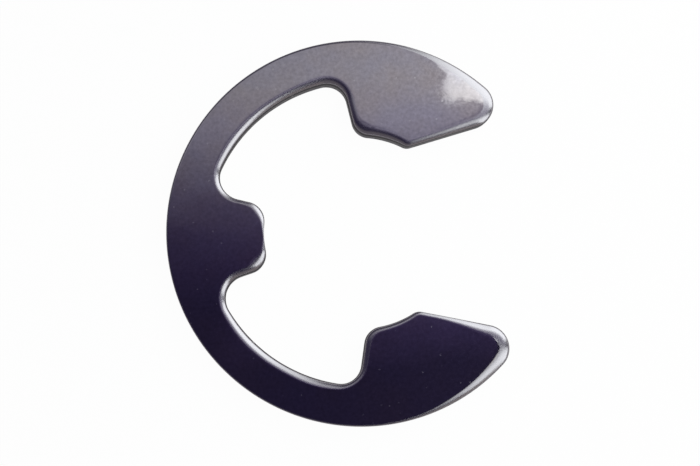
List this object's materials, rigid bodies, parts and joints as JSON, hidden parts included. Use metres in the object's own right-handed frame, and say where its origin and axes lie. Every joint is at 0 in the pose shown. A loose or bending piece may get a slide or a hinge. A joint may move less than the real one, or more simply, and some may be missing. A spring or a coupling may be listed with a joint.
{
  "type": "e-clip",
  "caption": "Flat open spring-steel retaining clip, pushed sideways into a shaft's groove: its prong and jaws grip the groove and its rim makes a shoulder.",
  "frame": {"origin": "on the axis of the shaft that the clip grips, in the plane of the clip's underside", "axes": "+Z along the shaft, out of the upper face with the rolled edge; +X out of the mouth between the jaws; +Y towards one jaw, across the clip's widest extent"},
  "size_m": [0.0173, 0.02, 0.0012],
  "materials": {
    "spring_steel": "dark phosphated and oiled spring steel, tumbled, satin on the flat faces and burnished bright on the rolled edges"
  },
  "bodies": {
    "root": {"e_clip": "spring_steel"}
  },
  "joints": []
}
